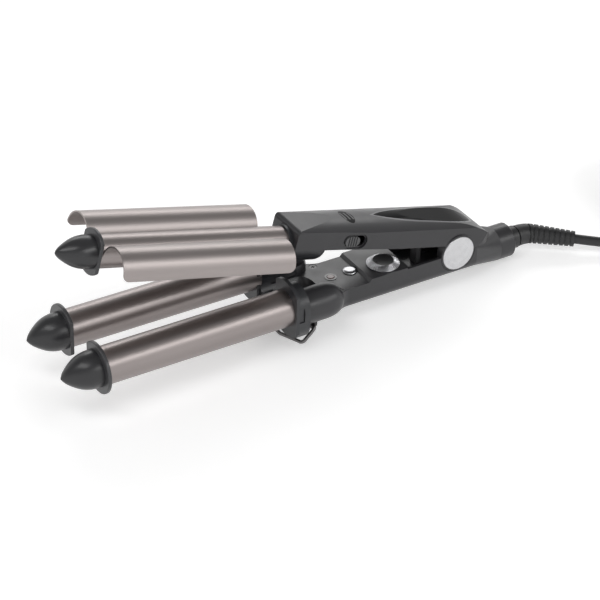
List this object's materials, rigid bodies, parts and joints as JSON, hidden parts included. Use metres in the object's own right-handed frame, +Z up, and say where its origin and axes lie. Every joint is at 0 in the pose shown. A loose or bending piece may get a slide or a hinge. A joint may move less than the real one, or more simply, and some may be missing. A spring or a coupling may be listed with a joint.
{
  "type": "hair waver",
  "caption": "Hair waver with heated barrels on hinged arms, cover plates, a temperature dial, power button, jaw lock, wire stand and swivel cord",
  "frame": {"origin": "on the standing surface, under the middle of the waver measured without its cord", "axes": "+X runs along the lower arm from the barrel tips to the cord, +Y to the far side, +Z up"},
  "size_m": [0.6025, 0.0888, 0.1014],
  "materials": {
    "barrel_coating": "satin warm grey titanium coating on a drawn tube",
    "cover_sheet": "satin warm grey titanium coating on bent sheet",
    "heater_core": "bare extruded aluminium",
    "heating_element": "ceramic heating strip in film",
    "tip": "satin heat resistant plastic",
    "flange": "satin heat resistant plastic",
    "collar": "matte heat resistant plastic",
    "housing": "soft matte charcoal plastic",
    "panel": "gloss black inlay",
    "trim": "light grey trim line",
    "grille": "matte black insert",
    "cap": "spun satin metal disc",
    "steel": "plain steel",
    "wire": "dark plated steel wire",
    "lock": "matte charcoal plastic",
    "dial_metal": "chromed knurled ring",
    "dial_dark": "matte black plastic",
    "button": "satin silver button",
    "lens": "clear tinted lens",
    "bezel": "gloss black ring",
    "led": "epoxy lamp",
    "board": "green lacquered board",
    "component": "black moulded component",
    "swivel": "matte black plastic",
    "cord": "black flexible PVC",
    "plug": "moulded black plug",
    "plug_metal": "nickel plated brass"
  },
  "bodies": {
    "lower_arm": {"near_barrel": "barrel_coating", "far_barrel": "barrel_coating", "near_heater_core": "heater_core", "far_heater_core": "heater_core", "near_heating_element": "heating_element", "far_heating_element": "heating_element", "near_tip": "tip", "far_tip": "tip", "near_flange": "flange", "far_flange": "flange", "near_collar": "collar", "far_collar": "collar", "lower_housing": "housing", "bottom_cover": "housing", "hinge_pin": "steel", "hinge_washers": "steel", "hinge_spring": "steel", "lower_screws": "steel", "deck_screws": "steel", "lock_catch": "lock", "indicator_lens": "lens", "indicator_bezel": "bezel", "indicator_led": "led", "circuit_board": "board", "dial_potentiometer": "component", "power_switch": "component", "cord_guard": "cord", "cord_lead": "cord", "cord_coil": "cord", "cord_tail": "cord", "plug_body": "plug", "plug_pins": "plug_metal"},
    "upper_arm": {"upper_shell": "housing", "upper_base": "housing", "upper_screws": "steel", "near_pivot_cap": "cap", "far_pivot_cap": "cap", "centre_collar": "collar", "centre_socket": "collar", "centre_barrel": "barrel_coating", "centre_heater_core": "heater_core", "centre_heating_element": "heating_element", "centre_flange": "flange", "centre_tip": "tip", "near_cover_plate": "cover_sheet", "far_cover_plate": "cover_sheet", "top_panel": "panel", "panel_trim": "trim", "vent_grille": "grille"},
    "lock": {"lock_knob": "lock", "lock_bar": "steel"},
    "dial": {"dial_ring": "dial_metal", "dial_cap": "dial_dark", "dial_shaft": "dial_dark"},
    "button": {"power_button": "button"},
    "stand": {"wire_stand": "wire"},
    "swivel": {"swivel_neck": "swivel", "swivel_clip": "steel"}
  },
  "joints": [
    {"name": "jaw_hinge", "type": "hinge", "parent": "lower_arm", "child": "upper_arm", "pos_m": [0.10525, 0, 0.0239], "axis": [0, -1, 0], "range_deg": [0, 14.5], "stiffness_Nm_per_rad": 1, "springref_deg": -22.92, "deforming": ["hinge_spring"]},
    {"name": "lock_slide", "type": "slide", "parent": "upper_arm", "child": "lock", "axis": [0.9681, 0, -0.2504], "range_m": [0, 0.004]},
    {"name": "dial_turn", "type": "hinge", "parent": "lower_arm", "child": "dial", "pos_m": [0.05875, -0.0055, 0.0259], "axis": [0, 0, 1], "range_deg": [-135, 135]},
    {"name": "power_press", "type": "slide", "parent": "lower_arm", "child": "button", "axis": [0, 0, -1], "range_m": [0, 0.0008], "stiffness_N_per_m": 500, "springref_m": -0.0008},
    {"name": "stand_fold", "type": "hinge", "parent": "lower_arm", "child": "stand", "pos_m": [-0.00045, 0, 0.0126], "axis": [0, -1, 0], "range_deg": [0, 110]},
    {"name": "cord_swivel", "type": "hinge", "parent": "lower_arm", "child": "swivel", "pos_m": [0.15325, 0, 0.0102], "axis": [1, 0, 0], "continuous": true}
  ]
}
